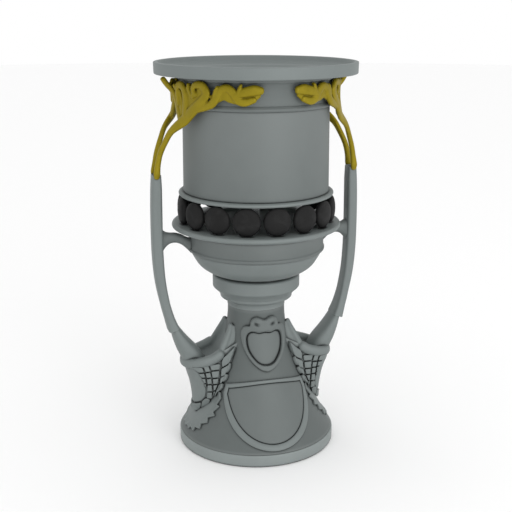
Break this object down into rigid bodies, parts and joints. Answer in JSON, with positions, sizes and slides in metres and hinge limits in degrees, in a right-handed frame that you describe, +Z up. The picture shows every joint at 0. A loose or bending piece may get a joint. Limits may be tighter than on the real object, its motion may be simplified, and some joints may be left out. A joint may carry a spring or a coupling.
{
  "type": "cup trophy",
  "caption": "Tall two-handled cup trophy with a flared base, winged consoles, a ring of black stone discs and gilded scroll ornaments",
  "frame": {"origin": "centre of the felt pad's underside, on the surface the trophy stands on", "axes": "+Z up along the stem, -Y towards the front shield, +X towards the right handle"},
  "size_m": [0.2738, 0.2536, 0.5],
  "materials": {
    "felt": "green wool felt",
    "cast_iron": "rough cast",
    "silver": "bead-blasted silver plate with darkened recesses",
    "gilt": "matte gilding",
    "black_stone": "honed black stone",
    "steel": "zinc-plated"
  },
  "bodies": {
    "root": {"felt_pad": "felt", "base_weight": "cast_iron", "plinth_band": "silver", "base_shell": "silver", "front_shield_frame": "silver", "front_shield_panel": "silver", "back_shield_frame": "silver", "back_shield_panel": "silver", "front_crest_frame": "silver", "front_crest_panel": "silver", "back_crest_frame": "silver", "back_crest_panel": "silver", "collar": "silver", "lower_bowl": "silver", "drum": "silver", "flange": "silver", "cup_foot": "silver", "cup_body": "silver", "cup_neck": "silver", "rim": "silver", "left_console": "silver", "left_shelf": "silver", "left_leaf": "silver", "left_handle_arm": "silver", "left_handle_foot": "silver", "left_strut": "silver", "left_front_wing": "silver", "left_front_ornament": "gilt", "left_back_wing": "silver", "left_back_ornament": "gilt", "right_console": "silver", "right_shelf": "silver", "right_leaf": "silver", "right_handle_arm": "silver", "right_handle_foot": "silver", "right_strut": "silver", "right_front_wing": "silver", "right_front_ornament": "gilt", "right_back_wing": "silver", "right_back_ornament": "gilt", "stone_disc_01": "black_stone", "stone_disc_02": "black_stone", "stone_disc_03": "black_stone", "stone_disc_04": "black_stone", "stone_disc_05": "black_stone", "stone_disc_06": "black_stone", "stone_disc_07": "black_stone", "stone_disc_08": "black_stone", "stone_disc_09": "black_stone", "stone_disc_10": "black_stone", "stone_disc_11": "black_stone", "stone_disc_12": "black_stone", "stone_disc_13": "black_stone", "stone_disc_14": "black_stone", "stone_disc_15": "black_stone", "stone_disc_16": "black_stone", "tie_rod": "steel", "base_nut": "steel", "cup_nut": "steel"}
  },
  "joints": []
}
